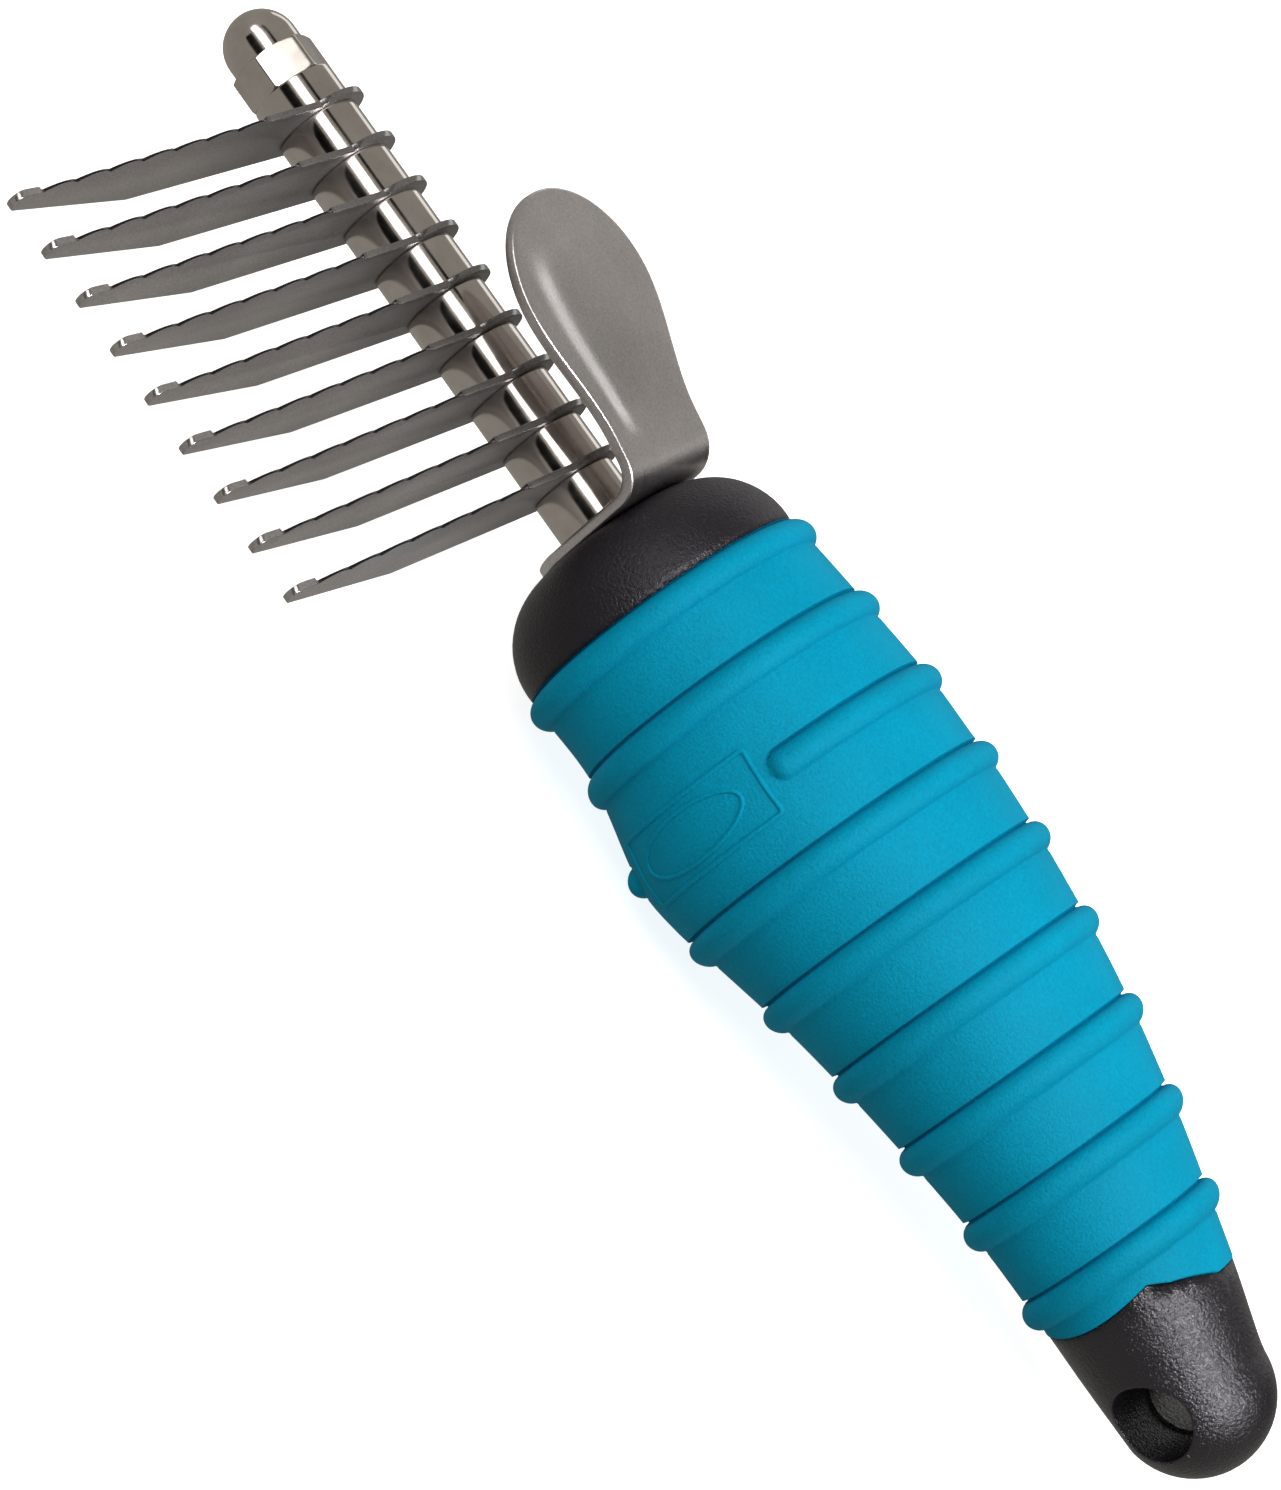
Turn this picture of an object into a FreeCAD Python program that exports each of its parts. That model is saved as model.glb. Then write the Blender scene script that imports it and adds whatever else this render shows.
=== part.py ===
import FreeCAD, Part
import math
import os

# Undercoat rake.  All sizes are in millimetres.
#
# Frame: the origin is the centre of the hanging hole through the handle's tail.
#   +X  along the post, from the handle towards the cap nut
#   +Y  the way the blades point, and the hanging hole's axis
#   +Z  the side that the thumb rest is on
# The post, the spacers and the grip ribs are all centred on the line y = 0, z = AXIS_Z.

AXIS_Z = 4.3

# Blades and the stack on the post
BLADE_COUNT = 9
BLADE_PITCH = 6.78
BLADE_THICKNESS = 0.9
BLADE_REACH = 58.5
EYE_RADIUS = 6.25
EYE_SHIFT_Y = -0.6
EYE_SHIFT_Z = 0.4
BACK_EDGE_Z = -5.8
BACK_CORNER_Y = 32.5
TIP_RADIUS = 1.5
TIP_Z = 0.9
TOOTH_COUNT = 7
TOOTH_FIRST_Y = 14.0
TOOTH_LAST_Y = 54.2
TOOTH_FIRST_Z = 4.5
TOOTH_LAST_Z = 2.1
TOOTH_RISE = 0.85
BEVEL_WIDTH = 3.4
BEVEL_EDGE = 0.28
SPACER_RADIUS = 5.5
SPACER_EDGE = 0.2
BASE_SPACER_LENGTH = 6.4
END_COLLAR_LENGTH = 4.5
POST_RADIUS = 2.95
POST_EDGE = 0.5
BORE_RADIUS = 3.03

# Cap nut, across flats 10 with a blind thread
NUT_ACROSS_FLATS = 10.0
NUT_HEX_HEIGHT = 4.8
NUT_DOME_RADIUS = 4.85
NUT_HEIGHT = 11.4
NUT_THREAD_DEPTH = 8.0
NUT_CORNER_ANGLE = 20.0
POST_IN_NUT = 7.5

# Stamped thumb-rest bracket
BRACKET_THICKNESS = 1.6
BRACKET_HALF_WIDTH = 9.5
BEND_RADIUS = 5.0
PADDLE_SLOPE = 0.2
PADDLE_RISE = 15.5
PADDLE_HEAD_RADIUS = 12.95
PADDLE_HEAD_X = 15.6
PADDLE_NECK_HALF_WIDTH = 9.0

# Handle: moulded core, nose in front of the sleeve, tail behind it
NOSE_FACE_X = 123.25
NOSE_FACE_RADIUS = 10.0
NOSE_LENGTH = 11.25
NOSE_RADIUS = 19.1
SLEEVE_THICKNESS = 2.4
TAIL_CENTRE_X = -0.5
TAIL_RADIUS = 10.0
TAIL_RISE = -3.5
TAIL_JOIN_ANGLE = 9.2
TAIL_STEP = 0.12
HOLE_RADIUS = 5.1
INSERT_RADIUS = 5.0
INSERT_LENGTH = 22.0
INSERT_DEPTH = 4.0
INSERT_BORE_RADIUS = 2.97

# Ribs on the sleeve
RIB_COUNT = 9
RIB_FIRST_X = 109.85
RIB_PITCH = 11.52
RIB_WIDTH = 3.7
RIB_HEIGHT = 1.3
RIB_GAP_FROM = -50.0
RIB_GAP_TO = 38.0
GAP_RIB = 3

# Rear end of the sleeve: an arc in side view, and a tongue on the +Z side given by its corners
# (place along the post, distance toward +Y)
SLEEVE_END_X = 13.05
SLEEVE_END_RADIUS = 30.0
SLEEVE_END_SPREAD = 3.0
TONGUE_X = 9.87
TONGUE = ((13.9, 9.65), (12.5, 7.6), (TONGUE_X, 0.6), (TONGUE_X, -6.0), (13.9, -11.5))

# Handle body stations: x, radius of the round section, height of its centre over the post axis
STATIONS = (
    (112.0, 19.3, -0.3),
    (100.0, 19.65, 0.75),
    (86.0, 21.55, -0.1),
    (79.0, 21.25, 0.3),
    (73.0, 20.5, 1.2),
    (60.0, 18.7, 2.35),
    (45.0, 16.7, 2.5),
    (30.0, 14.45, 1.55),
    (17.0, 12.65, -0.3),
    (8.0, 11.45, -1.85),
    (0.0, 10.2, -3.3),
    (TAIL_CENTRE_X - TAIL_RADIUS * math.sin(math.radians(TAIL_JOIN_ANGLE)),
     TAIL_RADIUS * math.cos(math.radians(TAIL_JOIN_ANGLE)) + TAIL_STEP, TAIL_RISE),
)

BRACKET_FACE_X = NOSE_FACE_X + BRACKET_THICKNESS
FIRST_BLADE_X = BRACKET_FACE_X + BASE_SPACER_LENGTH + BLADE_THICKNESS / 2
LAST_BLADE_X = FIRST_BLADE_X + (BLADE_COUNT - 1) * BLADE_PITCH
COLLAR_X = LAST_BLADE_X + BLADE_THICKNESS / 2
NUT_X = COLLAR_X + END_COLLAR_LENGTH
SLEEVE_START_X = NOSE_FACE_X - NOSE_LENGTH

X_AXIS = FreeCAD.Vector(1, 0, 0)
Y_AXIS = FreeCAD.Vector(0, 1, 0)
Z_AXIS = FreeCAD.Vector(0, 0, 1)


def at(x, y=0.0, z=0.0):
    """A point given by its distance along the post and its offset from the post's axis."""
    return FreeCAD.Vector(x, y, AXIS_Z + z)


def rod(x_start, length, radius):
    """A cylinder on the post axis."""
    return Part.makeCylinder(radius, length, at(x_start), X_AXIS)


def closed_face(edges):
    """A flat face inside a closed run of edges."""
    return Part.Face(Part.Wire(edges))


def line(a, b):
    return Part.LineSegment(a, b).toShape()


def arc(a, middle, b):
    return Part.Arc(a, middle, b).toShape()


def body_section(x):
    """Radius and centre height of the handle's round section, by cubic interpolation."""
    last = len(STATIONS) - 2
    i = 0
    while i < last and x < STATIONS[i + 1][0]:
        i += 1
    x0, r0, z0 = STATIONS[i]
    x1, r1, z1 = STATIONS[i + 1]
    before = STATIONS[max(i - 1, 0)]
    after = STATIONS[min(i + 2, last + 1)]
    t = (x - x0) / (x1 - x0)
    span = x1 - x0

    def hermite(p0, p1, k):
        m0 = (STATIONS[i + 1][k] - before[k]) / (STATIONS[i + 1][0] - before[0]) * span
        m1 = (after[k] - STATIONS[i][k]) / (after[0] - STATIONS[i][0]) * span
        t2 = t * t
        t3 = t2 * t
        return ((2 * t3 - 3 * t2 + 1) * p0 + (t3 - 2 * t2 + t) * m0
                + (3 * t2 - 2 * t3) * p1 + (t3 - t2) * m1)

    return hermite(r0, r1, 1), hermite(z0, z1, 2)


def body_loft(x_from, x_to, inset, step=5.0):
    """The handle's round body between two places, drawn in by inset."""
    count = max(2, int(abs(x_to - x_from) / step) + 1)
    wires = []
    for i in range(count + 1):
        x = x_from + (x_to - x_from) * i / count
        radius, rise = body_section(x)
        circle = Part.Circle(at(x, 0, rise), X_AXIS, radius - inset)
        wires.append(Part.Wire(circle.toShape()))
    return Part.makeLoft(wires, True, False)


def blade_profile():
    """Flat outline of one blade in the plane x = 0, with the post axis at y = 0."""
    eye_y, eye_z = EYE_SHIFT_Y, EYE_SHIFT_Z
    eye_bottom = at(0, eye_y, eye_z - EYE_RADIUS)
    eye_far = at(0, eye_y - EYE_RADIUS, eye_z)
    neck_z = TOOTH_FIRST_Z + 0.4
    neck_y = eye_y + math.sqrt(EYE_RADIUS ** 2 - (neck_z - eye_z) ** 2)
    neck = at(0, neck_y, neck_z)
    corner = at(0, BACK_CORNER_Y, BACK_EDGE_Z)
    tip_y = BLADE_REACH - TIP_RADIUS
    tip_low = at(0, tip_y, TIP_Z - TIP_RADIUS)
    tip_end = at(0, BLADE_REACH, TIP_Z)
    tip_top = at(0, tip_y, TIP_Z + TIP_RADIUS)
    edges = [arc(neck, eye_far, eye_bottom), line(eye_bottom, corner), line(corner, tip_low),
             arc(tip_low, tip_end, tip_top)]
    tooth_length = (TOOTH_LAST_Y - TOOTH_FIRST_Y) / TOOTH_COUNT

    def valley(i):
        share = i / TOOTH_COUNT
        return TOOTH_FIRST_Y + i * tooth_length, TOOTH_FIRST_Z + (TOOTH_LAST_Z - TOOTH_FIRST_Z) * share

    last_valley = at(0, *valley(TOOTH_COUNT))
    edges.append(line(tip_top, last_valley))
    for i in range(TOOTH_COUNT, 0, -1):
        y1, z1 = valley(i)
        y0, z0 = valley(i - 1)
        crest = at(0, (y0 + y1) / 2, (z0 + z1) / 2 + TOOTH_RISE)
        edges.append(arc(at(0, y1, z1), crest, at(0, y0, z0)))
    edges.append(line(at(0, *valley(0)), neck))
    return closed_face(edges)


def bevel_waste():
    """What the grinding takes off the serrated edge, on the side facing the cap nut."""
    fall = (TOOTH_LAST_Z - TOOTH_FIRST_Z) / (TOOTH_LAST_Y - TOOTH_FIRST_Y)
    crest_z = TOOTH_FIRST_Z + TOOTH_RISE
    foot_z = crest_z - BEVEL_WIDTH
    slope = (BLADE_THICKNESS - BEVEL_EDGE) / BEVEL_WIDTH
    above = 2.0
    wedge = closed_face([
        line(at(BLADE_THICKNESS, TOOTH_FIRST_Y, foot_z),
             at(BEVEL_EDGE - slope * above, TOOTH_FIRST_Y, crest_z + above)),
        line(at(BEVEL_EDGE - slope * above, TOOTH_FIRST_Y, crest_z + above),
             at(BLADE_THICKNESS + 1, TOOTH_FIRST_Y, crest_z + above)),
        line(at(BLADE_THICKNESS + 1, TOOTH_FIRST_Y, crest_z + above),
             at(BLADE_THICKNESS + 1, TOOTH_FIRST_Y, foot_z)),
        line(at(BLADE_THICKNESS + 1, TOOTH_FIRST_Y, foot_z),
             at(BLADE_THICKNESS, TOOTH_FIRST_Y, foot_z)),
    ])
    run = TOOTH_LAST_Y - TOOTH_FIRST_Y
    return wedge.extrude(FreeCAD.Vector(0, run, run * fall))


def make_blade(x_centre):
    start = x_centre - BLADE_THICKNESS / 2
    blade = blade_profile().extrude(X_AXIS * BLADE_THICKNESS).cut(bevel_waste())
    blade.translate(X_AXIS * start)
    return blade.cut(rod(start - 1, BLADE_THICKNESS + 2, BORE_RADIUS))


def make_spacer(x_start, length):
    """Round spacer tube with its two outer edges broken."""
    tube = rod(x_start, length, SPACER_RADIUS)
    rims = [e for e in tube.Edges if isinstance(e.Curve, Part.Circle)]
    tube = tube.makeFillet(SPACER_EDGE, rims)
    return tube.cut(rod(x_start - 1, length + 2, BORE_RADIUS))


def make_cap_nut():
    """Hexagon with its corners turned off, a neck step and a full dome, bored blind."""
    corner = NUT_ACROSS_FLATS / 2 / math.cos(math.radians(30))
    points = []
    for i in range(7):
        angle = math.radians(NUT_CORNER_ANGLE + 60 * i)
        points.append(at(NUT_X, corner * math.cos(angle), corner * math.sin(angle)))
    hexagon = Part.Face(Part.makePolygon(points)).extrude(X_AXIS * NUT_HEX_HEIGHT)
    top_cone = Part.makeCone(corner + NUT_HEX_HEIGHT * 1.73, corner - 0.6, NUT_HEX_HEIGHT,
                             at(NUT_X), X_AXIS)
    base_cone = Part.makeCone(corner - 0.3, corner - 0.3 + NUT_HEX_HEIGHT * 1.73, NUT_HEX_HEIGHT,
                              at(NUT_X), X_AXIS)
    hexagon = hexagon.common(top_cone).common(base_cone)
    dome_x = NUT_X + NUT_HEIGHT - NUT_DOME_RADIUS
    neck = rod(NUT_X + NUT_HEX_HEIGHT / 2, dome_x - NUT_X - NUT_HEX_HEIGHT / 2, NUT_DOME_RADIUS)
    dome = Part.makeSphere(NUT_DOME_RADIUS, at(dome_x))
    nut = hexagon.fuse(neck).fuse(dome).removeSplitter()
    return nut.cut(rod(NUT_X - 1, NUT_THREAD_DEPTH + 1, BORE_RADIUS))


def make_threaded_rod():
    start = NOSE_FACE_X - INSERT_DEPTH - INSERT_LENGTH + 1
    length = NUT_X + POST_IN_NUT - start
    post = rod(start, length, POST_RADIUS)
    rims = [e for e in post.Edges if isinstance(e.Curve, Part.Circle)]
    return post.makeChamfer(POST_EDGE, rims)


def paddle_outer_z(x):
    """Height of the thumb rest's outer face over the post axis at a place along the post."""
    return PADDLE_RISE + PADDLE_SLOPE * (x - FIRST_BLADE_X)


def make_bracket():
    """Steel plate bent to an L: a base clamped on the post and a wide thumb paddle."""
    slope = math.atan(PADDLE_SLOPE)
    back = NOSE_FACE_X
    centre_x = back + BEND_RADIUS
    centre_z = paddle_outer_z(centre_x) - BEND_RADIUS / math.cos(slope)
    inner = BEND_RADIUS - BRACKET_THICKNESS
    turn = math.pi / 2 - slope

    def on_bend(radius, share):
        angle = math.pi - turn * share
        return at(centre_x + radius * math.cos(angle), 0, centre_z + radius * math.sin(angle))

    reach = FIRST_BLADE_X + PADDLE_HEAD_X + PADDLE_HEAD_RADIUS + 1
    outer_end = at(reach, 0, paddle_outer_z(reach))
    inward = FreeCAD.Vector(math.sin(slope), 0, -math.cos(slope)) * BRACKET_THICKNESS
    inner_end = outer_end + inward
    foot = -BRACKET_HALF_WIDTH
    edges = [
        line(at(back, 0, foot), on_bend(BEND_RADIUS, 0)),
        arc(on_bend(BEND_RADIUS, 0), on_bend(BEND_RADIUS, 0.5), on_bend(BEND_RADIUS, 1)),
        line(on_bend(BEND_RADIUS, 1), outer_end),
        line(outer_end, inner_end),
        line(inner_end, on_bend(inner, 1)),
        arc(on_bend(inner, 1), on_bend(inner, 0.5), on_bend(inner, 0)),
        line(on_bend(inner, 0), at(BRACKET_FACE_X, 0, foot)),
        line(at(BRACKET_FACE_X, 0, foot), at(back, 0, foot)),
    ]
    wide = 2 * PADDLE_HEAD_RADIUS + 4
    strip = closed_face(edges).extrude(Y_AXIS * wide)
    strip.translate(Y_AXIS * (-wide / 2))

    top = 2 * PADDLE_RISE
    half = BRACKET_HALF_WIDTH
    end_view = closed_face([
        arc(at(0, -half), at(0, 0, -half), at(0, half)),
        line(at(0, half), at(0, half, PADDLE_RISE / 2)),
        line(at(0, half, PADDLE_RISE / 2), at(0, wide / 2, PADDLE_RISE / 2)),
        line(at(0, wide / 2, PADDLE_RISE / 2), at(0, wide / 2, top)),
        line(at(0, wide / 2, top), at(0, -wide / 2, top)),
        line(at(0, -wide / 2, top), at(0, -wide / 2, PADDLE_RISE / 2)),
        line(at(0, -wide / 2, PADDLE_RISE / 2), at(0, -half, PADDLE_RISE / 2)),
        line(at(0, -half, PADDLE_RISE / 2), at(0, -half)),
    ]).extrude(X_AXIS * (2 * reach))

    head_x = FIRST_BLADE_X + PADDLE_HEAD_X
    neck_x = FIRST_BLADE_X - 2.0
    low = -2 * BRACKET_HALF_WIDTH

    def flank(side):
        points = [FreeCAD.Vector(neck_x, side * PADDLE_NECK_HALF_WIDTH, low),
                  FreeCAD.Vector(neck_x + 6, side * (PADDLE_NECK_HALF_WIDTH + 1.2), low),
                  FreeCAD.Vector(neck_x + 12, side * (PADDLE_NECK_HALF_WIDTH + 2.8), low),
                  FreeCAD.Vector(head_x, side * PADDLE_HEAD_RADIUS, low)]
        curve = Part.BSplineCurve()
        curve.interpolate(Points=points, InitialTangent=X_AXIS, FinalTangent=X_AXIS)
        return curve.toShape()

    left = FreeCAD.Vector(NOSE_FACE_X - 1, PADDLE_NECK_HALF_WIDTH, low)
    right = FreeCAD.Vector(NOSE_FACE_X - 1, -PADDLE_NECK_HALF_WIDTH, low)
    head = arc(FreeCAD.Vector(head_x, PADDLE_HEAD_RADIUS, low),
               FreeCAD.Vector(head_x + PADDLE_HEAD_RADIUS, 0, low),
               FreeCAD.Vector(head_x, -PADDLE_HEAD_RADIUS, low))
    top_view = closed_face([
        line(right, left),
        line(left, FreeCAD.Vector(neck_x, PADDLE_NECK_HALF_WIDTH, low)),
        flank(1),
        head,
        flank(-1),
        line(FreeCAD.Vector(neck_x, -PADDLE_NECK_HALF_WIDTH, low), right),
    ]).extrude(Z_AXIS * (low * -1 + 2 * top))
    bracket = strip.common(end_view).common(top_view)
    return bracket.cut(rod(NOSE_FACE_X - 2, BRACKET_THICKNESS + 4, BORE_RADIUS))


def rib_x(number):
    return RIB_FIRST_X - (number - 1) * RIB_PITCH


def rib_ring(number):
    """One raised rib: a ring of round section, sunk so that its crown stands RIB_HEIGHT proud."""
    x = rib_x(number)
    radius, rise = body_section(x)
    round_radius = (RIB_HEIGHT ** 2 + RIB_WIDTH ** 2 / 4) / (2 * RIB_HEIGHT)
    middle = at(x, 0, rise + radius + RIB_HEIGHT - round_radius)
    section = Part.Face(Part.Wire(Part.Circle(middle, Y_AXIS, round_radius).toShape()))
    centre = at(x, 0, rise)
    if number != GAP_RIB:
        return section.revolve(centre, X_AXIS, 360)
    # The section starts on +Z, which is 90 degrees round from +Y.
    section.rotate(centre, X_AXIS, RIB_GAP_TO - 90)
    return section.revolve(centre, X_AXIS, 360 - (RIB_GAP_TO - RIB_GAP_FROM))


def sleeve_trim():
    """The space behind the sleeve: an arched end with a tongue left on the thumb-rest side."""
    far = 40.0
    front = SLEEVE_END_X + SLEEVE_END_SPREAD
    behind = Part.makeBox(front + far, 2 * far, 2 * far, at(-far, -far, -far))
    arch_centre = at(SLEEVE_END_X + SLEEVE_END_RADIUS, -far)
    behind = behind.cut(Part.makeCylinder(SLEEVE_END_RADIUS, 2 * far, arch_centre, Y_AXIS))
    corners = [at(front, TONGUE[0][1])] + [at(x, y) for x, y in TONGUE] + [at(front, TONGUE[-1][1])]
    tongue = Part.Face(Part.makePolygon(corners + corners[:1])).extrude(Z_AXIS * far)
    return behind.cut(tongue)


def make_sleeve():
    outer = body_loft(SLEEVE_START_X, TONGUE_X - 2, 0)
    for number in range(1, RIB_COUNT + 1):
        outer = outer.fuse(rib_ring(number))
    inner = body_loft(SLEEVE_START_X + 1, TONGUE_X - 3, SLEEVE_THICKNESS)
    front = Part.makeBox(20, 80, 80, at(SLEEVE_START_X, -40, -40))
    return outer.cut(inner).cut(sleeve_trim()).cut(front)


def make_core(sleeve):
    """Nose, the body under the sleeve and the tail, as one moulding with its holes."""
    rise = body_section(SLEEVE_START_X)[1]
    root = at(SLEEVE_START_X, 0, rise)
    shoulder = at(SLEEVE_START_X, 0, rise + NOSE_RADIUS)
    face_rim = at(NOSE_FACE_X, 0, rise + NOSE_FACE_RADIUS)
    face_centre = at(NOSE_FACE_X, 0, rise)
    share = math.sqrt(0.5)
    middle = at(SLEEVE_START_X + NOSE_LENGTH * share,
                0, rise + NOSE_FACE_RADIUS + (NOSE_RADIUS - NOSE_FACE_RADIUS) * share)
    nose = closed_face([
        line(root, shoulder),
        arc(shoulder, middle, face_rim),
        line(face_rim, face_centre),
        line(face_centre, root),
    ]).revolve(root, X_AXIS, 360)
    inner = body_loft(SLEEVE_START_X + 1, TONGUE_X - 3, SLEEVE_THICKNESS)
    tail = body_loft(SLEEVE_END_X + SLEEVE_END_SPREAD, STATIONS[-1][0], TAIL_STEP, 2.5)
    tail = tail.common(sleeve_trim())
    end = Part.makeSphere(TAIL_RADIUS, at(TAIL_CENTRE_X, 0, TAIL_RISE), X_AXIS * -1,
                          TAIL_JOIN_ANGLE, 90, 360)
    core = nose.fuse(inner).fuse(tail).fuse(end)
    core = core.cut(sleeve)
    wide = 2 * TAIL_RADIUS + 6
    hole = Part.makeCylinder(HOLE_RADIUS, wide, FreeCAD.Vector(0, -wide / 2, 0), Y_AXIS)
    core = core.cut(hole)
    post_way = rod(NOSE_FACE_X - INSERT_DEPTH - 1, INSERT_DEPTH + 2, BORE_RADIUS)
    insert_way = rod(NOSE_FACE_X - INSERT_DEPTH - INSERT_LENGTH, INSERT_LENGTH, INSERT_RADIUS)
    return core.cut(post_way).cut(insert_way)


def make_insert():
    """Round brass insert that the post is screwed into."""
    start = NOSE_FACE_X - INSERT_DEPTH - INSERT_LENGTH
    insert = rod(start, INSERT_LENGTH, INSERT_RADIUS)
    return insert.cut(rod(start - 1, INSERT_LENGTH + 2, INSERT_BORE_RADIUS))


def build():
    sleeve = make_sleeve()
    parts = {
        "handle_core": make_core(sleeve),
        "grip_sleeve": sleeve,
        "post_insert": make_insert(),
        "threaded_rod": make_threaded_rod(),
        "thumb_rest": make_bracket(),
        "base_spacer": make_spacer(BRACKET_FACE_X, BASE_SPACER_LENGTH),
        "end_collar": make_spacer(COLLAR_X, END_COLLAR_LENGTH),
        "cap_nut": make_cap_nut(),
    }
    for i in range(BLADE_COUNT):
        x = FIRST_BLADE_X + i * BLADE_PITCH
        parts["blade_%d" % (i + 1)] = make_blade(x)
        if i < BLADE_COUNT - 1:
            length = BLADE_PITCH - BLADE_THICKNESS
            parts["spacer_%d" % (i + 1)] = make_spacer(x + BLADE_THICKNESS / 2, length)
    return parts


os.makedirs("parts", exist_ok=True)
for name, shape in build().items():
    box = shape.BoundBox
    print("%-14s solids %d valid %s volume %9.1f  x %7.2f..%7.2f  y %7.2f..%7.2f  z %7.2f..%7.2f" % (
        name, len(shape.Solids), shape.isValid(), shape.Volume,
        box.XMin, box.XMax, box.YMin, box.YMax, box.ZMin, box.ZMax))
    shape.exportStep("parts/%s.step" % name)
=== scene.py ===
import math

import bmesh
import bpy
from mathutils import Matrix, Vector


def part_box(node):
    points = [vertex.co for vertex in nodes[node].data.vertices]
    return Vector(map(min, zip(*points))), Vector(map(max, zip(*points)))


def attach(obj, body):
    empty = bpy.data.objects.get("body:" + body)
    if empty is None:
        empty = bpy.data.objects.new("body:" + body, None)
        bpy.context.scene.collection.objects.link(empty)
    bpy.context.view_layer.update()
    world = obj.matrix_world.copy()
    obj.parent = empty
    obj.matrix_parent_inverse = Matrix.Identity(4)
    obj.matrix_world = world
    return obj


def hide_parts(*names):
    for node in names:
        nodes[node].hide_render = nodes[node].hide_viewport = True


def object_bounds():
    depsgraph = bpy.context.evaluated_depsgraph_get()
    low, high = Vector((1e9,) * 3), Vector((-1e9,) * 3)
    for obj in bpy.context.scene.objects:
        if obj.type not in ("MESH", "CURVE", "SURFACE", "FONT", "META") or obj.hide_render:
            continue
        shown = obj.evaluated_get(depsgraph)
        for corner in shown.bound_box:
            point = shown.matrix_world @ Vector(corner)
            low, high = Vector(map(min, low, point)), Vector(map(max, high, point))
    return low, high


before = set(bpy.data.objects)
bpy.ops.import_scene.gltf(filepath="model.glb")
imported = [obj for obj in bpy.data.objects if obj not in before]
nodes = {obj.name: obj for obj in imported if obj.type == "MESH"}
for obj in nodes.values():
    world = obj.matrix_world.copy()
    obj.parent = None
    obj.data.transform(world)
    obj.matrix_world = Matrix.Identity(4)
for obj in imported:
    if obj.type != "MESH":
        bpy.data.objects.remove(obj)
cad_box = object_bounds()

# Undercoat rake.  Shapes are worked out in millimetres in the row frame and stored in metres.
MM = 0.001
TURN = 2 * math.pi

AXIS_Z = 4.3
BORE_RADIUS = 3.03
HOLE_RADIUS = 5.1


def at(x, y=0.0, z=0.0):
    """A point given by its distance along the post and its offset from the post's axis."""
    return Vector((x, y, AXIS_Z + z))


def node_box(node):
    """Lowest and highest corner of a CAD node, in millimetres."""
    low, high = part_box(node)
    return low / MM, high / MM


def smooth(t):
    """An even rise from 0 to 1 as t goes from 0 to 1."""
    t = min(max(t, 0.0), 1.0)
    return t * t * (3 - 2 * t)


# ---------------------------------------------------------------- mesh helpers

def linked(name, data):
    """A new object in the scene."""
    obj = bpy.data.objects.new(name, data)
    bpy.context.scene.collection.objects.link(obj)
    return obj


def new_object(name, verts, faces, sharp_angle):
    """A closed smooth-shaded piece from places in millimetres."""
    mesh = bpy.data.meshes.new(name)
    mesh.from_pydata([v * MM for v in verts], [], faces)
    bm = bmesh.new()
    bm.from_mesh(mesh)
    bmesh.ops.remove_doubles(bm, verts=bm.verts, dist=1e-7)
    bmesh.ops.recalc_face_normals(bm, faces=bm.faces)
    bm.to_mesh(mesh)
    bm.free()
    mesh.shade_smooth()
    mesh.set_sharp_from_angle(angle=math.radians(sharp_angle))
    return linked(name, mesh)


def ring_grid(rings, capped=False):
    """Vertices and faces joining a run of closed rings that all have the same number of points."""
    count = len(rings[0])
    verts = [p for ring in rings for p in ring]
    faces = []
    for i in range(len(rings) - 1):
        here, there = i * count, (i + 1) * count
        for j in range(count):
            k = (j + 1) % count
            faces.append((here + j, here + k, there + k, there + j))
    if capped:
        last = (len(rings) - 1) * count
        faces.append(tuple(range(count - 1, -1, -1)))
        faces.append(tuple(range(last, last + count)))
    return verts, faces


def refined_copy(node, name, width, sharp_angle):
    """A copy of a CAD node whose sharp edges are rounded off."""
    mesh = nodes[node].data.copy()
    mesh.name = name
    bm = bmesh.new()
    bm.from_mesh(mesh)
    bmesh.ops.remove_doubles(bm, verts=bm.verts, dist=1e-6)
    bmesh.ops.dissolve_limit(bm, angle_limit=math.radians(0.5), verts=bm.verts, edges=bm.edges)
    bm.to_mesh(mesh)
    bm.free()
    mesh.shade_smooth()
    obj = linked(name, mesh)
    bevel = obj.modifiers.new("rounding", "BEVEL")
    bevel.width = width * MM
    bevel.segments = 2
    bevel.limit_method = "ANGLE"
    bevel.angle_limit = math.radians(sharp_angle)
    bevel.use_clamp_overlap = True
    bevel.harden_normals = True
    bpy.context.view_layer.update()
    evaluated = obj.evaluated_get(bpy.context.evaluated_depsgraph_get())
    rounded = bpy.data.meshes.new_from_object(evaluated)
    obj.modifiers.clear()
    obj.data = rounded
    rounded.materials.clear()
    return obj


def circle(x, radius, columns):
    """A ring of places round the post's axis."""
    turns = [TURN * j / columns for j in range(columns)]
    return [at(x, radius * math.cos(a), radius * math.sin(a)) for a in turns]


def lathe(name, profile):
    """A closed profile of (x, radius) places turned round the post's axis."""
    rings = [circle(x, r, 96) for x, r in profile]
    rings.append(rings[0])
    return new_object(name, *ring_grid(rings), 50)


def place(obj, body, material, slot, *replaced):
    """Give a piece its material and its body, and hide the CAD nodes that it stands in for. The slot is not
    used.
    """
    obj.data.materials.clear()
    obj.data.materials.append(material)
    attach(obj, body)
    if replaced:
        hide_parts(*replaced)


# ---------------------------------------------------------------- materials

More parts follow.
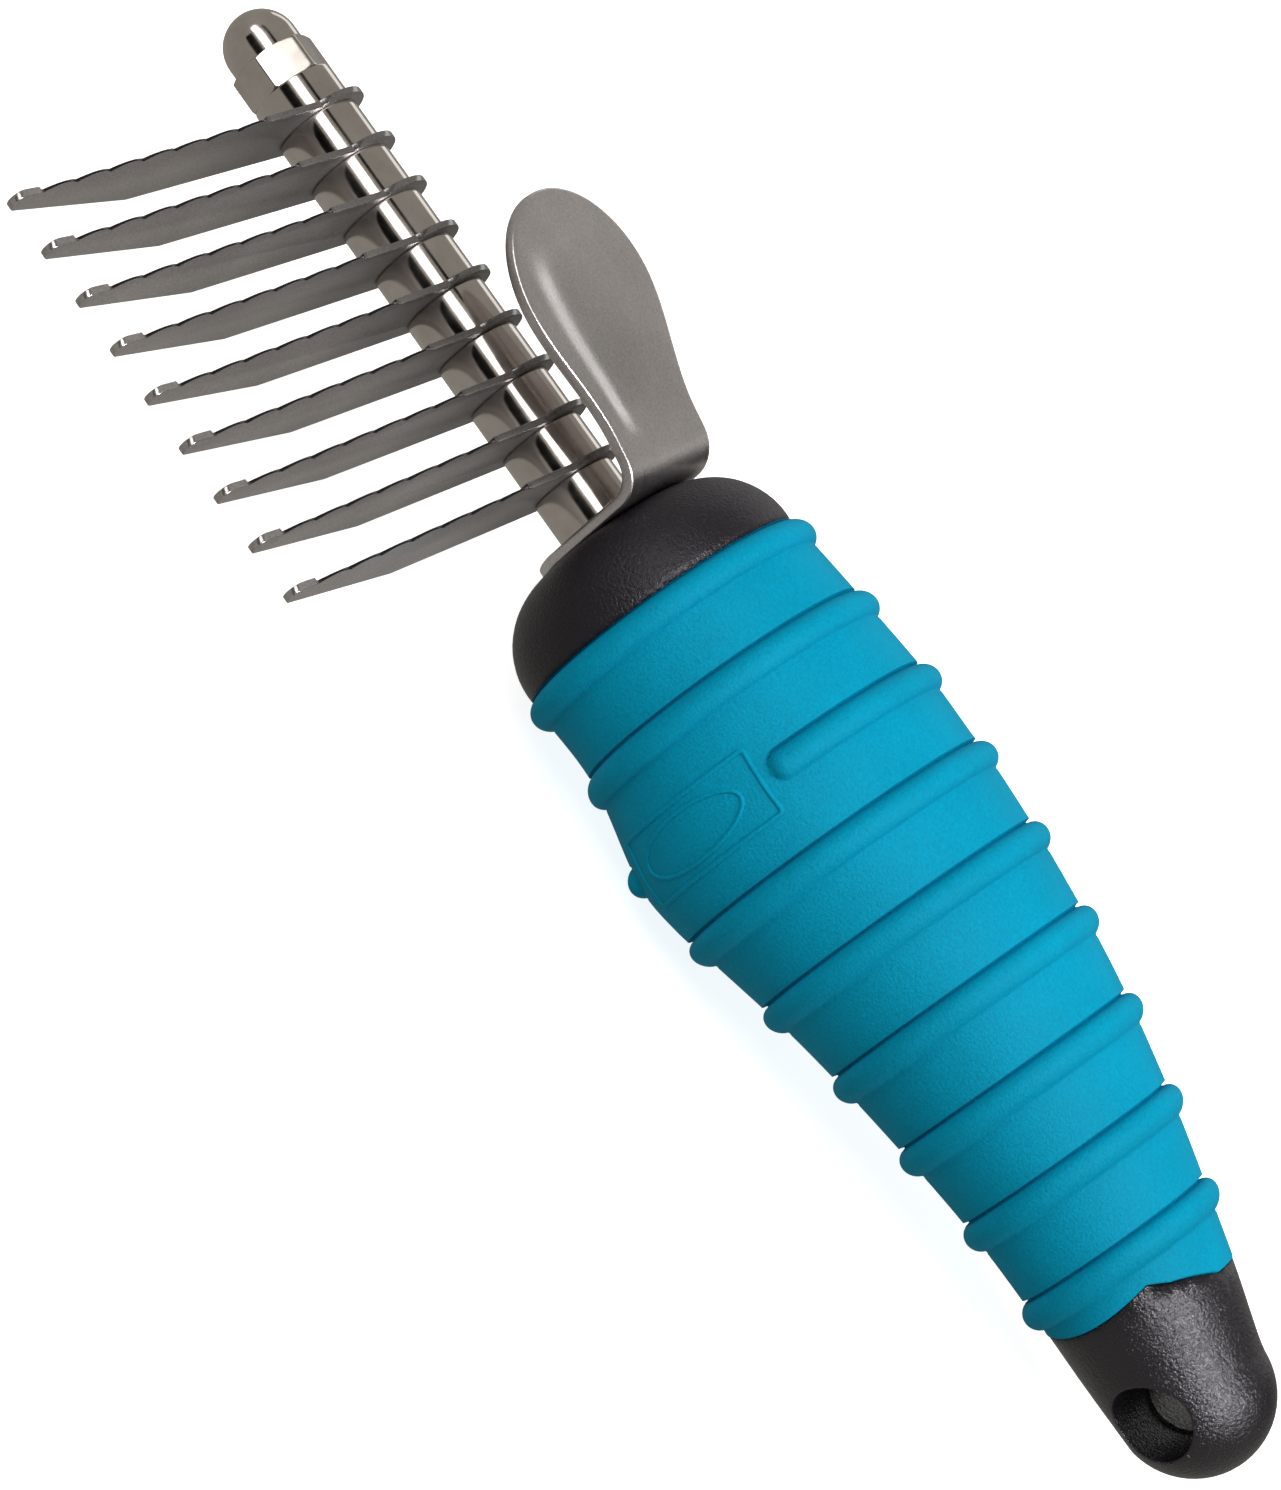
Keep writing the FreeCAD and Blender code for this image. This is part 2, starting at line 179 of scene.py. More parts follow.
class Nodes:
    """A material's node tree with short ways to add to it."""

    def __init__(self, name):
        self.material = bpy.data.materials.new(name)
        self.material.use_nodes = True
        self.tree = self.material.node_tree
        self.shader = self.tree.nodes["Principled BSDF"]
        self.place = self.tree.nodes.new("ShaderNodeTexCoord").outputs["Object"]

    def add(self, kind, **inputs):
        """A new node with its inputs set."""
        node = self.tree.nodes.new(kind)
        for key, value in inputs.items():
            node.inputs[key.replace("_", " ")].default_value = value
        return node

    def link(self, out, into):
        self.tree.links.new(out, into)

    def stretched(self, scale):
        """The place on the rake, scaled differently along each axis."""
        mapping = self.add("ShaderNodeMapping", Scale=scale)
        self.link(self.place, mapping.inputs["Vector"])
        return mapping.outputs["Vector"]

    def noise(self, scale, detail=3.0, roughness=0.55, vector=None):
        node = self.add("ShaderNodeTexNoise", Scale=scale, Detail=detail, Roughness=roughness)
        self.link(vector if vector is not None else self.place, node.inputs["Vector"])
        return node.outputs["Fac"]

    def band(self, value, low, high, to_low, to_high):
        """A value taken evenly from one range to another, and held at the ends."""
        node = self.add("ShaderNodeMapRange")
        node.inputs["From Min"].default_value = low
        node.inputs["From Max"].default_value = high
        node.inputs["To Min"].default_value = to_low
        node.inputs["To Max"].default_value = to_high
        self.link(value, node.inputs["Value"])
        return node.outputs["Result"]

    def ramp(self, value, stops):
        """A colour that changes evenly between two stops, each a value and its colour."""
        node = self.tree.nodes.new("ShaderNodeValToRGB")
        for element, (position, colour) in zip(node.color_ramp.elements, stops):
            element.position, element.color = position, (*colour, 1)
        self.link(value, node.inputs["Fac"])
        return node.outputs["Color"]

    def bump(self, height, strength, distance, normal=None):
        """A normal roughened by a height, whose distance is in millimetres."""
        node = self.add("ShaderNodeBump", Strength=strength, Distance=distance * MM)
        self.link(height, node.inputs["Height"])
        if normal is not None:
            self.link(normal, node.inputs["Normal"])
        return node.outputs["Normal"]

    def sum(self, first, second):
        return self.worked_out("ADD", first, second)

    def product(self, first, second):
        return self.worked_out("MULTIPLY", first, second)

    def worked_out(self, operation, *values):
        """The result of one arithmetic operation on values."""
        node = self.tree.nodes.new("ShaderNodeMath")
        node.operation = operation
        for socket, value in zip(node.inputs, values):
            self.link(value, socket)
        return node.outputs["Value"]

    def tinted(self, colour, tint):
        """One colour multiplied by another."""
        node = self.tree.nodes.new("ShaderNodeMix")
        node.data_type, node.blend_type = "RGBA", "MULTIPLY"
        node.inputs["Factor"].default_value = 1.0
        self.link(colour, node.inputs["A"])
        self.link(tint, node.inputs["B"])
        return node.outputs["Result"]

    def axis(self, which):
        """The place on the rake along one axis, in metres."""
        split = self.tree.nodes.new("ShaderNodeSeparateXYZ")
        self.link(self.place, split.inputs["Vector"])
        return split.outputs[which]

    def put(self, **outputs):
        """Set or link the shader's inputs, and give back the finished material."""
        for key, value in outputs.items():
            socket = self.shader.inputs[key.replace("_", " ")]
            if hasattr(value, "is_linked"):
                self.link(value, socket)
            else:
                socket.default_value = value
        return self.material


def black_plastic():
    """Moulded plastic whose grain breaks its highlights into specks; the tail is glossier than the nose."""
    n = Nodes("black_plastic")
    grain = n.noise(2500, 2.0, 0.7)
    fine = n.noise(5200, 1.0)
    normal = n.bump(grain, 1.0, 0.18)
    normal = n.bump(fine, 0.6, 0.04, normal)
    cloud = n.noise(60, 3.0)
    colour = n.ramp(cloud, [(0.3, (0.0068, 0.0050, 0.0080)), (0.7, (0.0125, 0.0095, 0.0150))])
    tail_end, nose_start = 0.04, 0.07
    duller = n.band(n.axis("X"), tail_end, nose_start, 0.0, 0.10)
    rough = n.sum(n.band(grain, 0.3, 0.7, 0.22, 0.34), duller)
    gloss = n.band(n.axis("X"), tail_end, nose_start, 0.65, 0.42)
    return n.put(Base_Color=colour, Roughness=rough, Normal=normal, Specular_IOR_Level=gloss)


def teal_rubber():
    """Soft moulded rubber: matt, with a fine even grain and faint clouding."""
    n = Nodes("teal_rubber")
    grain = n.noise(3000, 2.0, 0.6)
    normal = n.bump(grain, 0.9, 0.09)
    cloud = n.noise(90, 4.0)
    mixed = n.sum(n.band(cloud, 0.0, 1.0, 0.0, 0.35), n.band(grain, 0.0, 1.0, 0.0, 0.65))
    colour = n.ramp(mixed, [(0.3, (0.0, 0.265, 0.425)), (0.7, (0.0, 0.37, 0.60))])
    rough = n.band(grain, 0.3, 0.7, 0.6, 0.74)
    return n.put(Base_Color=colour, Roughness=rough, Normal=normal, Specular_IOR_Level=0.06)


def blade_steel():
    """Tumbled plate with an even grain and painted shade toward the post; between its tips the edge made by
    grinding carries a painted dark reflection.
    """
    n = Nodes("blade_steel")
    grain = n.noise(3300, 3.0, 0.7)
    cloud = n.noise(70, 4.0)
    spots = n.ramp(grain, [(0.3, (0.38, 0.351, 0.34)), (0.7, (0.654, 0.616, 0.592))])
    shade = n.ramp(cloud, [(0.3, (0.86, 0.86, 0.87)), (0.7, (1.0, 1.0, 1.0))])
    # Painted shade: the plate's colour darkens toward the post. It stands in for the shade and dark
    # reflections of the neighbouring blades.
    from_post = n.band(n.axis("Y"), 0.009, 0.027, 0.0, 1.0)
    painted_post_shade = n.ramp(from_post, [(0.0, (0.55, 0.56, 0.57)), (1.0, (1.0, 1.0, 1.0))])
    matt = n.tinted(spots, n.tinted(shade, painted_post_shade))

    facing = n.tree.nodes.new("ShaderNodeSeparateXYZ")
    n.link(n.tree.nodes["Texture Coordinate"].outputs["Normal"], facing.inputs["Vector"])
    edge = n.band(n.worked_out("ABSOLUTE", facing.outputs["X"]), 0.80, 0.95, 1.0, 0.0)
    # Painted dark reflection: from the first tooth to the last, the edge faces on the toothed side are mixed
    # toward near black.
    past_first_tooth = n.band(n.axis("Y"), 0.0136, 0.0142, 0.0, 1.0)
    before_last_tooth = n.band(n.axis("Y"), 0.0540, 0.0546, 1.0, 0.0)
    toothed_side = n.band(n.axis("Z"), 0.0040, 0.0050, 0.0, 1.0)
    painted_reflection_mask = n.product(n.product(n.product(edge, past_first_tooth), before_last_tooth), toothed_side)
    mix = n.tree.nodes.new("ShaderNodeMix")
    mix.data_type = "RGBA"
    mix.inputs["B"].default_value = (0.035, 0.032, 0.034, 1)
    n.link(painted_reflection_mask, mix.inputs["Factor"])
    n.link(matt, mix.inputs["A"])
    rough = n.band(edge, 0.0, 1.0, 0.46, 0.14)
    normal = n.bump(grain, 0.35, 0.03)
    return n.put(Base_Color=mix.outputs["Result"], Roughness=rough, Normal=normal, Metallic=0.8)


def satin_steel(name, low, high, rough_low, rough_high, lines, stroke_depth=0.01,
                grain_size=4200, grain_depth=0.03):
    """Ground steel: fine lines along one axis, soft clouding and an even grain."""
    n = Nodes(name)
    strokes = n.noise(1.0, 4.0, 0.6, n.stretched(lines))
    grain = n.noise(grain_size, 2.0, 0.7)
    cloud = n.noise(55, 4.0)
    mixed = n.sum(n.band(cloud, 0.0, 1.0, 0.0, 0.5), n.band(grain, 0.0, 1.0, 0.0, 0.5))
    colour = n.ramp(mixed, [(0.3, low), (0.7, high)])
    rough = n.band(strokes, 0.3, 0.7, rough_low, rough_high)
    normal = n.bump(strokes, 0.12, stroke_depth)
    normal = n.bump(grain, 0.5, grain_depth, normal)
    return n.put(Base_Color=colour, Roughness=rough, Normal=normal, Metallic=1.0)


def polished_steel():
    """Bright turned steel with a trace of circular tool marks and slight smearing."""
    n = Nodes("polished_steel")
    turned = n.noise(1.0, 2.0, 0.5, n.stretched((4200, 25, 25)))
    marks = n.noise(260, 4.0)
    colour = n.ramp(marks, [(0.3, (0.60, 0.545, 0.50)), (0.7, (0.72, 0.665, 0.62))])
    rough = n.band(marks, 0.3, 0.75, 0.09, 0.17)
    normal = n.bump(turned, 0.05, 0.003)
    return n.put(Base_Color=colour, Roughness=rough, Normal=normal, Metallic=1.0)


def brass():
    """Turned brass with faint marks."""
    n = Nodes("insert_brass")
    marks = n.noise(700, 4.0)
    colour = n.ramp(marks, [(0.3, (0.60, 0.40, 0.14)), (0.7, (0.74, 0.53, 0.22))])
    rough = n.band(marks, 0.3, 0.75, 0.25, 0.4)
    return n.put(Base_Color=colour, Roughness=rough, Normal=n.bump(marks, 0.1, 0.02), Metallic=1.0)


BLACK = black_plastic()
TEAL = teal_rubber()
BLADE = blade_steel()
PLATE = satin_steel("plate_steel", (0.50, 0.47, 0.465), (0.86, 0.815, 0.81), 0.27, 0.30,
                    (180, 900, 180), stroke_depth=0.001, grain_size=3300, grain_depth=0.06)
POLISHED = polished_steel()
ROD = satin_steel("rod_steel", (0.42, 0.41, 0.41), (0.52, 0.51, 0.50), 0.25, 0.38,
                  (200, 900, 900))
BRASS = brass()

# ---------------------------------------------------------------- handle

# x, radius of the round section, height of its centre over the post axis
STATIONS = (
    (112.0, 19.3, -0.3),
    (100.0, 19.65, 0.75),
    (86.0, 21.55, -0.1),
    (79.0, 21.25, 0.3),
    (73.0, 20.5, 1.2),
    (60.0, 18.7, 2.35),
    (45.0, 16.7, 2.5),
    (30.0, 14.45, 1.55),
    (17.0, 12.65, -0.3),
    (8.0, 11.45, -1.85),
    (0.0, 10.2, -3.3),
    (-2.1, 9.87, -3.5),
)
RIB_COUNT = 9
RIB_FIRST_X = 109.85
RIB_PITCH = 11.52
RIB_WIDTH = 3.7
RIB_HEIGHT = 1.27
CREASE_WIDTH = 0.5
CREASE_DEPTH = 0.05
CREASE_DEPTH_TO_NOSE = 0.60
GAP_RIB = 3
GAP_FROM = math.radians(-50)
GAP_TO = math.radians(38)
SLEEVE_THICKNESS = 2.4
# Rear end of the sleeve: an arc in side view, and a tongue on the +Z side given by its corners
# (place along the post, distance toward +Y)
SLEEVE_END_X = 13.05
SLEEVE_END_RADIUS = 30.0
SLEEVE_END_GAP = 0.12
TONGUE = ((13.9, 9.65), (12.5, 7.6), (9.87, 0.6), (9.87, -6.0), (13.9, -11.5))


def body_section(x):
    """Radius and centre height of the handle's round section, by cubic interpolation."""
    last = len(STATIONS) - 2
    i = 0
    while i < last and x < STATIONS[i + 1][0]:
        i += 1
    here, there = STATIONS[i], STATIONS[i + 1]
    before, after = STATIONS[max(i - 1, 0)], STATIONS[min(i + 2, last + 1)]
    span = there[0] - here[0]
    t = (x - here[0]) / span
    t2, t3 = t * t, t * t * t
    found = []
    for k in (1, 2):
        m0 = (there[k] - before[k]) / (there[0] - before[0]) * span
        m1 = (after[k] - here[k]) / (after[0] - here[0]) * span
        found.append((2 * t3 - 3 * t2 + 1) * here[k] + (t3 - 2 * t2 + t) * m0
                     + (3 * t2 - 2 * t3) * there[k] + (t3 - t2) * m1)
    return found


def rib_profile(distance, toward_nose):
    """How far a rib stands out at a distance from its middle, with a crease at its foot.

    toward_nose is 1 straight toward the nose, where the crease is deepest, and -1 straight away.
    """
    radius = (RIB_HEIGHT ** 2 + RIB_WIDTH ** 2 / 4) / (2 * RIB_HEIGHT)
    if distance < RIB_WIDTH / 2:
        return math.sqrt(radius ** 2 - distance ** 2) - (radius - RIB_HEIGHT)
    crease = (distance - RIB_WIDTH / 2) / CREASE_WIDTH
    depth = CREASE_DEPTH + CREASE_DEPTH_TO_NOSE * max(toward_nose, 0.0)
    return -depth * math.sin(math.pi * crease) if crease < 1 else 0.0


def skin_height(x, angle):
    """Height of the sleeve's surface over the plain body at a place on it."""
    height = 0.0
    for number in range(1, RIB_COUNT + 1):
        dx = x - (RIB_FIRST_X - (number - 1) * RIB_PITCH)
        if abs(dx) > RIB_WIDTH / 2 + CREASE_WIDTH:
            continue
        past = 0.0
        if number == GAP_RIB:
            a = (angle + math.pi) % TURN - math.pi
            if GAP_FROM < a < GAP_TO:
                past = min(a - GAP_FROM, GAP_TO - a) * body_section(x)[0]
        distance = math.hypot(dx, past)
        height = rib_profile(distance, dx / distance if distance else 0.0)
    return height


def sleeve_end(angle):
    """Where the sleeve stops at an angle round from +Y: an arched end with a tongue on the +Z side."""
    radius, rise = body_section(SLEEVE_END_X)
    y = radius * math.cos(angle)
    z = rise + radius * math.sin(angle)
    end = SLEEVE_END_X + SLEEVE_END_RADIUS - math.sqrt(SLEEVE_END_RADIUS ** 2 - z ** 2)
    if z > 0:
        for (x0, y0), (x1, y1) in zip(TONGUE, TONGUE[1:]):
            if y1 <= y <= y0:
                end = min(end, x0 + (x1 - x0) * (y0 - y) / (y0 - y1))
    return end + SLEEVE_END_GAP


def sleeve_places(low_x, high_x):
    """Where the sleeve's rings lie from its front to low_x: close together over each rib and its creases."""
    front_edge = 0.08
    places = [high_x, high_x - front_edge]
    half = RIB_WIDTH / 2
    valley = RIB_PITCH - RIB_WIDTH - 2 * CREASE_WIDTH
    for number in range(1, RIB_COUNT + 1):
        middle = RIB_FIRST_X - (number - 1) * RIB_PITCH
        places += [middle + half * i / 10 for i in range(-10, 11)]
        places += [middle + half + CREASE_WIDTH * i / 6 for i in range(1, 7)]
        places.append(middle - half - CREASE_WIDTH / 2)
        places += [middle - half - CREASE_WIDTH - valley * i / 5 for i in range(5)]
    return sorted({round(p, 4) for p in places if low_x < p <= high_x}, reverse=True)


def make_sleeve():
    """The ribbed sleeve: rings from the nose to the ribs' end, then rings that follow the cut end."""
    columns, straight_rings_to, front_edge_depth = 336, SLEEVE_END_X + 2.2, 0.18
    clear_of_core = 0.05
    inner = SLEEVE_THICKNESS - clear_of_core
    start_x = node_box("grip_sleeve")[1].x
    places = sleeve_places(straight_rings_to, start_x)
    angles = [TURN * j / columns for j in range(columns)]

    def surface(x, angle, extra):
        radius, rise = body_section(x)
        r = radius + extra
        return at(x, r * math.cos(angle), rise + r * math.sin(angle))

    inner_front = [surface(start_x, a, -inner) for a in angles]
    rings = [inner_front, [surface(start_x, a, -front_edge_depth) for a in angles]]
    for x in places[1:]:
        rings.append([surface(x, a, skin_height(x, a)) for a in angles])
    for share in (0.25, 0.5, 0.75, 0.92):
        ends = [straight_rings_to + (sleeve_end(a) - straight_rings_to) * share for a in angles]
        rings.append([surface(x, a, 0) for x, a in zip(ends, angles)])
    for back, depth in ((0.16, 0.0), (0.05, 0.04), (0.0, 0.16), (0.0, inner)):
        rings.append([surface(sleeve_end(a) + back, a, -depth) for a in angles])
    rings.append(inner_front)
    sleeve = new_object("grip_skin", *ring_grid(rings), 48)
    place(sleeve, "rake", TEAL, "teal_grip", "grip_sleeve")


def surface_bead(name, path, width, height):
    """A low rounded line standing on the sleeve along a closed path of (x, angle) places."""
    rings = []
    for i, (x, a) in enumerate(path):
        x0, a0 = path[i - 1]
        x1, a1 = path[(i + 1) % len(path)]
        radius, rise = body_section(x)
        out = Vector((0, math.cos(a), math.sin(a)))
        around = Vector((0, -math.sin(a), math.cos(a))) * (a1 - a0) * radius
        along = Vector((x1 - x0, 0, 0)) + around
        side = out.cross(along.normalized())
        centre = at(x, radius * math.cos(a), rise + radius * math.sin(a))
        ring = []
        for k in range(9):
            turn = math.pi * (k - 1) / 6
            ring.append(centre + side * (math.cos(turn) * width / 2) + out * (math.sin(turn) * height))
        rings.append(ring)
    rings.append(rings[0])
    bead = new_object(name, *ring_grid(rings), 60)
    place(bead, "rake", TEAL, "teal_grip")


def make_panel():
    """A plain raised frame with a plain oval ring in it, on the side the blades point to."""
    low_x, high_x = 82.4, 91.1
    low_a, high_a = math.radians(-35), math.radians(29)
    corner_x, corner_a = 0.5, math.radians(1.4)
    oval_x, oval_a = 3.1, math.radians(24)
    spacing, body_radius = 0.6, 21

    path = []
    corners = ((high_x, high_a, 1, 1), (low_x, high_a, -1, 1), (low_x, low_a, -1, -1), (high_x, low_a, 1, -1))
    for number, (x, a, sign_x, sign_a) in enumerate(corners):
        for k in range(5):
            turn = math.pi / 2 * (number + k / 4)
            path.append((x - sign_x * corner_x + corner_x * math.cos(turn),
                         a - sign_a * corner_a + corner_a * math.sin(turn)))
    dense = []
    for i, (x, a) in enumerate(path):
        next_x, next_a = path[(i + 1) % len(path)]
        step = max(abs(next_x - x), abs(next_a - a) * body_radius)
        pieces = max(1, int(step / spacing))
        dense += [(x + (next_x - x) * k / pieces, a + (next_a - a) * k / pieces) for k in range(pieces)]
    surface_bead("panel_frame", dense, 0.62, 0.24)

    mid_x, mid_a = (low_x + high_x) / 2, (low_a + high_a) / 2
    turns = [TURN * k / 96 for k in range(96)]
    oval = [(mid_x + oval_x * math.cos(t), mid_a + oval_a * math.sin(t)) for t in turns]
    surface_bead("panel_ring", oval, 0.55, 0.22)


def make_hole_seam():
    """The fine moulding ridge half way through the hanging hole."""
    sunk, height = 0.05, 0.34
    half_base, half_top = 0.45, 0.09
    section = ((sunk, -half_base), (-height, -half_top), (-height, half_top), (sunk, half_base))
    columns = 96
    rings = []
    for i in range(columns):
        a = TURN * i / columns
        out = Vector((math.cos(a), 0, math.sin(a)))
        rings.append([out * (HOLE_RADIUS + past) + Vector((0, y, 0)) for past, y in section])
    rings.append(rings[0])
    seam = new_object("hole_seam", *ring_grid(rings), 30)
    place(seam, "rake", BLACK, "black_plastic")


# ---------------------------------------------------------------- thumb rest

class BentPath:
    """The bracket's bend: a foot on the post, a quarter bend and a sloping arm.

    s is the distance along the plate from the bottom of the foot.
    """

    thickness = 1.6
    bend = 5.0
    slope_rate = 0.2
    rise = 15.5
    foot = 9.5

    def __init__(self, back, first_blade_x):
        self.back = back
        self.slope = math.atan(self.slope_rate)
        self.centre_x = back + self.bend
        arm_rise = self.rise + self.slope_rate * (self.centre_x - first_blade_x)
        self.centre_z = arm_rise - self.bend / math.cos(self.slope)
        turn = math.pi / 2 - self.slope
        self.base_length = self.foot + self.centre_z
        self.arm_from = self.base_length + self.bend * turn
        self.start = self.bend_place(math.pi - turn, self.bend)
        self.along = Vector((math.cos(self.slope), 0, math.sin(self.slope)))
        self.inward = Vector((math.sin(self.slope), 0, -math.cos(self.slope)))

    def bend_place(self, angle, radius, y=0.0):
        """A place in the bend, by its angle and radius about the bend's centre."""
        return at(self.centre_x + radius * math.cos(angle), y, self.centre_z + radius * math.sin(angle))

    def place(self, s, y, depth):
        """A place in the plate, by its depth under the outer face."""
        if s < self.base_length:
            return at(self.back + depth, y, -self.foot + s)
        if s < self.arm_from:
            return self.bend_place(math.pi - (s - self.base_length) / self.bend, self.bend - depth, y)
        return self.start + self.along * (s - self.arm_from) + self.inward * depth + Vector((0, y, 0))

    def s_of_x(self, x):
        """The distance along the plate of a place on the arm's outer face."""
        return self.arm_from + (x - self.start.x) / math.cos(self.slope)

    def x_of_s(self, s):
        """The place along the post of a distance along the arm's outer face."""
        return self.start.x + (s - self.arm_from) * math.cos(self.slope)


def make_bracket():
    """The steel plate: outline rings in the flat, laid along the bent path, with a pressed dish."""
    low, high = node_box("thumb_rest")
    first_low, first_high = node_box("blade_1")
    first_blade_x = (first_low.x + first_high.x) / 2
    bent = BentPath(low.x, first_blade_x)
    half_neck, head_radius = 9.0, (high.y - low.y) / 2
    head_x, neck_x = high.x - head_radius, first_blade_x - 2.0
    rim_radius = 0.42
    dish_depth, dish_half_length, dish_from_head = 0.7, 12.9, 5.8
    end_steepness, rim_fade = 1.7, 0.12
    steep_side, steep_width = 0.76, 0.4
    easy_side, easy_width = 0.9, 1.3

    def plan_half_width(x):
        """Half the arm's width as seen from above: a plain neck that swells into a round head."""
        if x >= head_x:
            return math.sqrt(max(head_radius ** 2 - (x - head_x) ** 2, 0))
        return half_neck + (head_radius - half_neck) * smooth((x - neck_x) / (head_x - neck_x))

    def half_outline():
        """The +Y half of the plate laid flat, from the bottom of the foot to the end of the head."""
        foot = bent.foot
        widest = math.asin(half_neck / foot)
        turns = [widest * i / 18 for i in range(19)]
        side = [(foot - foot * math.cos(a), foot * math.sin(a)) for a in turns]
        s_foot, s_neck = side[-1][0], bent.s_of_x(neck_x)
        side += [(s_foot + (s_neck - s_foot) * i / 30, half_neck) for i in range(1, 31)]
        plan = [neck_x + (head_x - neck_x) * i / 22 for i in range(1, 23)]
        side += [(bent.s_of_x(x), plan_half_width(x)) for x in plan]
        turns = [math.pi / 2 * i / 30 for i in range(1, 31)]
        side += [(bent.s_of_x(head_x + head_radius * math.sin(a)), head_radius * math.cos(a)) for a in turns]
        return side

    side = half_outline()
    outline = side + [(s, -y) for s, y in reversed(side[1:-1])]
    s_low, s_high = bent.foot * 0.9, bent.s_of_x(head_x)

    def towards_middle(point, share):
        """A place moved a share of the way to the plate's middle line."""
        s, y = point
        return s + (min(max(s, s_low), s_high) - s) * share, y * (1 - share)

    def inset(point, distance):
        """A place moved some millimetres to the plate's middle line."""
        s, y = point
        length = math.hypot(s - min(max(s, s_low), s_high), y)
        return towards_middle(point, min(distance / length, 1.0)) if length else point

    def dish(s, y):
        """How far the paddle is pressed in: steep on the side the blades point to, easy on the other."""
        across = y / plan_half_width(min(bent.x_of_s(s), head_x))
        off_centre = (s - bent.s_of_x(head_x - dish_from_head)) / dish_half_length
        lengthways = min(1.0, end_steepness * max(0.0, 1 - off_centre ** 2))
        steep = smooth((steep_side - across) / steep_width)
        easy = smooth((across + easy_side) / easy_width)
        return dish_depth * lengthways * steep * easy

    def rim_ring(distance, depth):
        return [bent.place(*inset(point, distance), depth) for point in outline]

    def face_ring(depth, share):
        """A ring of one face, a share of the way from the rim to the middle."""
        ring = []
        for point in outline:
            s, y = towards_middle(inset(point, rim_radius), share)
            ring.append(bent.place(s, y, depth + dish(s, y) * smooth(share / rim_fade)))
        return ring

    shares = (0.02, 0.05, 0.09, 0.13, 0.17, 0.21, 0.26, 0.31, 0.37,
              0.43, 0.5, 0.58, 0.66, 0.74, 0.82, 0.9, 0.96, 1.0)
    quarter = [math.pi / 2 * k / 4 for k in range(5)]
    rings = [face_ring(bent.thickness, share) for share in reversed(shares)]
    for a in quarter:
        from_rim, depth = rim_radius * (1 - math.sin(a)), rim_radius * (1 - math.cos(a))
        rings.append(rim_ring(from_rim, bent.thickness - depth))
    for a in quarter:
        from_rim, depth = rim_radius * (1 - math.cos(a)), rim_radius * (1 - math.sin(a))
        rings.append(rim_ring(from_rim, depth))
    rings += [face_ring(0.0, share) for share in shares]
    plate = new_object("thumb_plate", *ring_grid(rings), 50)
    place(plate, "rake", PLATE, "plate_steel", "thumb_rest")


# ---------------------------------------------------------------- post

def make_rod():
    """The post, with its thread cut at the end that takes the nut."""
    low, high = node_box("threaded_rod")
    radius = (high.y - low.y) / 2
    pitch, depth, columns = 1.0, 0.55, 48
    thread_length, run_out, rings_a_turn = 17.0, 1.5, 12
    crest, flanks = 0.18, 0.64
    chamfer, end_depth = 0.5, 0.75
    thread_from, thread_to = high.x - thread_length, high.x - 0.6
    plain_to = thread_from - 0.2
    places = [low.x + chamfer, plain_to]
    x = thread_from
    while x < thread_to:
        places.append(x)
        x += pitch / rings_a_turn
    places.append(high.x - chamfer)

    def thread_ring(x):
        """One ring of a right-hand thread, which runs out toward the plain part."""
        run = min(max((x - thread_from) / run_out, 0), 1)
        ring = []
        for j in range(columns):
            a = TURN * j / columns
            phase = (x / pitch - j / columns) % 1.0
            cut = min(max((abs(phase - 0.5) * 2 - crest) / flanks, 0), 1)
            r = radius - depth * run * cut
            ring.append(at(x, r * math.cos(a), r * math.sin(a)))
        return ring

    rings = [circle(low.x, radius - chamfer, columns)]
    rings += [thread_ring(x) for x in places]
    rings.append(circle(high.x, radius - end_depth, columns))
    rod = new_object("post_thread", *ring_grid(rings, capped=True), 38)
    place(rod, "rake", ROD, "rod_steel", "threaded_rod")


def tube_profile(low_x, high_x, outer, bore, edge):
    """A spacer's section: two broken outer edges, and places close to them to keep the middle true."""
    quarter = [math.pi / 2 * k / 4 for k in range(5)]
    profile = [(low_x, bore), (low_x, (outer + bore) / 2)]
    profile += [(low_x + edge - edge * math.cos(a), outer - edge + edge * math.sin(a)) for a in quarter]
    profile += [(low_x + edge * 1.5, outer), (high_x - edge * 1.5, outer)]
    profile += [(high_x - edge + edge * math.sin(a), outer - edge + edge * math.cos(a)) for a in quarter]
    return profile + [(high_x, (outer + bore) / 2), (high_x, bore)]


